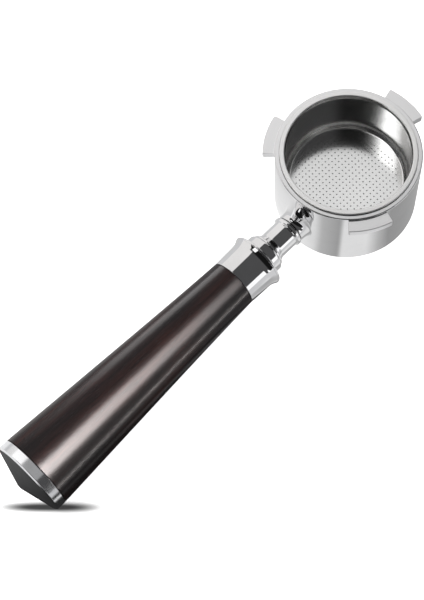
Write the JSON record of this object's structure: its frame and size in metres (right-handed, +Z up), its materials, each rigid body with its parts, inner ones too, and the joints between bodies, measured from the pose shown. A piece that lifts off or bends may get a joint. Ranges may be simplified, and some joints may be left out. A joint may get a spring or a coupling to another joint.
{
  "type": "portafilter",
  "caption": "Bottomless portafilter with bayonet lugs, a lift-out perforated basket held by a wire spring, and a turned dark wood handle.",
  "frame": {"origin": "centre of the cup's flat top face, on the cup's axis", "axes": "+Z up out of the mouth along the cup's axis; the handle runs along -X; one lug is nearly opposite the handle, near +X"},
  "size_m": [0.2208, 0.0671, 0.0379],
  "materials": {
    "cup_chrome": "polished wall with a satin top face and lugs",
    "basket_steel": "drawn stainless sheet, polished wall and satin floor",
    "spring_steel": "drawn wire",
    "handle_chrome": "mirror polished",
    "rod_steel": "machined",
    "bush_brass": "machined",
    "grip_wood": "dark ebony-coloured wood, satin lacquer",
    "cap_aluminium": "turned and polished",
    "seal_rubber": "matt black rubber",
    "washer_fibre": "red vulcanised fibre"
  },
  "bodies": {
    "cup": {"cup_body": "cup_chrome", "core_rod": "rod_steel", "boss_o_ring": "seal_rubber", "neck_sleeve": "handle_chrome", "neck_collar": "handle_chrome", "bell_ferrule": "handle_chrome", "ferrule_washer": "washer_fibre", "front_bush": "bush_brass", "wood_grip": "grip_wood", "rear_washer": "rod_steel", "lock_washer": "rod_steel", "rod_nut": "rod_steel", "end_cap": "cap_aluminium", "cap_o_ring": "seal_rubber"},
    "spring": {"basket_spring": "spring_steel"},
    "basket": {"filter_basket": "basket_steel"}
  },
  "joints": [
    {"name": "spring_turn", "type": "hinge", "parent": "cup", "child": "spring", "pos_m": [0, 0, -0.007], "axis": [0, 0, 1], "continuous": true},
    {"name": "basket_lift", "type": "slide", "parent": "spring", "child": "basket", "axis": [0, 0, 1], "range_m": [0, 0.03]}
  ]
}
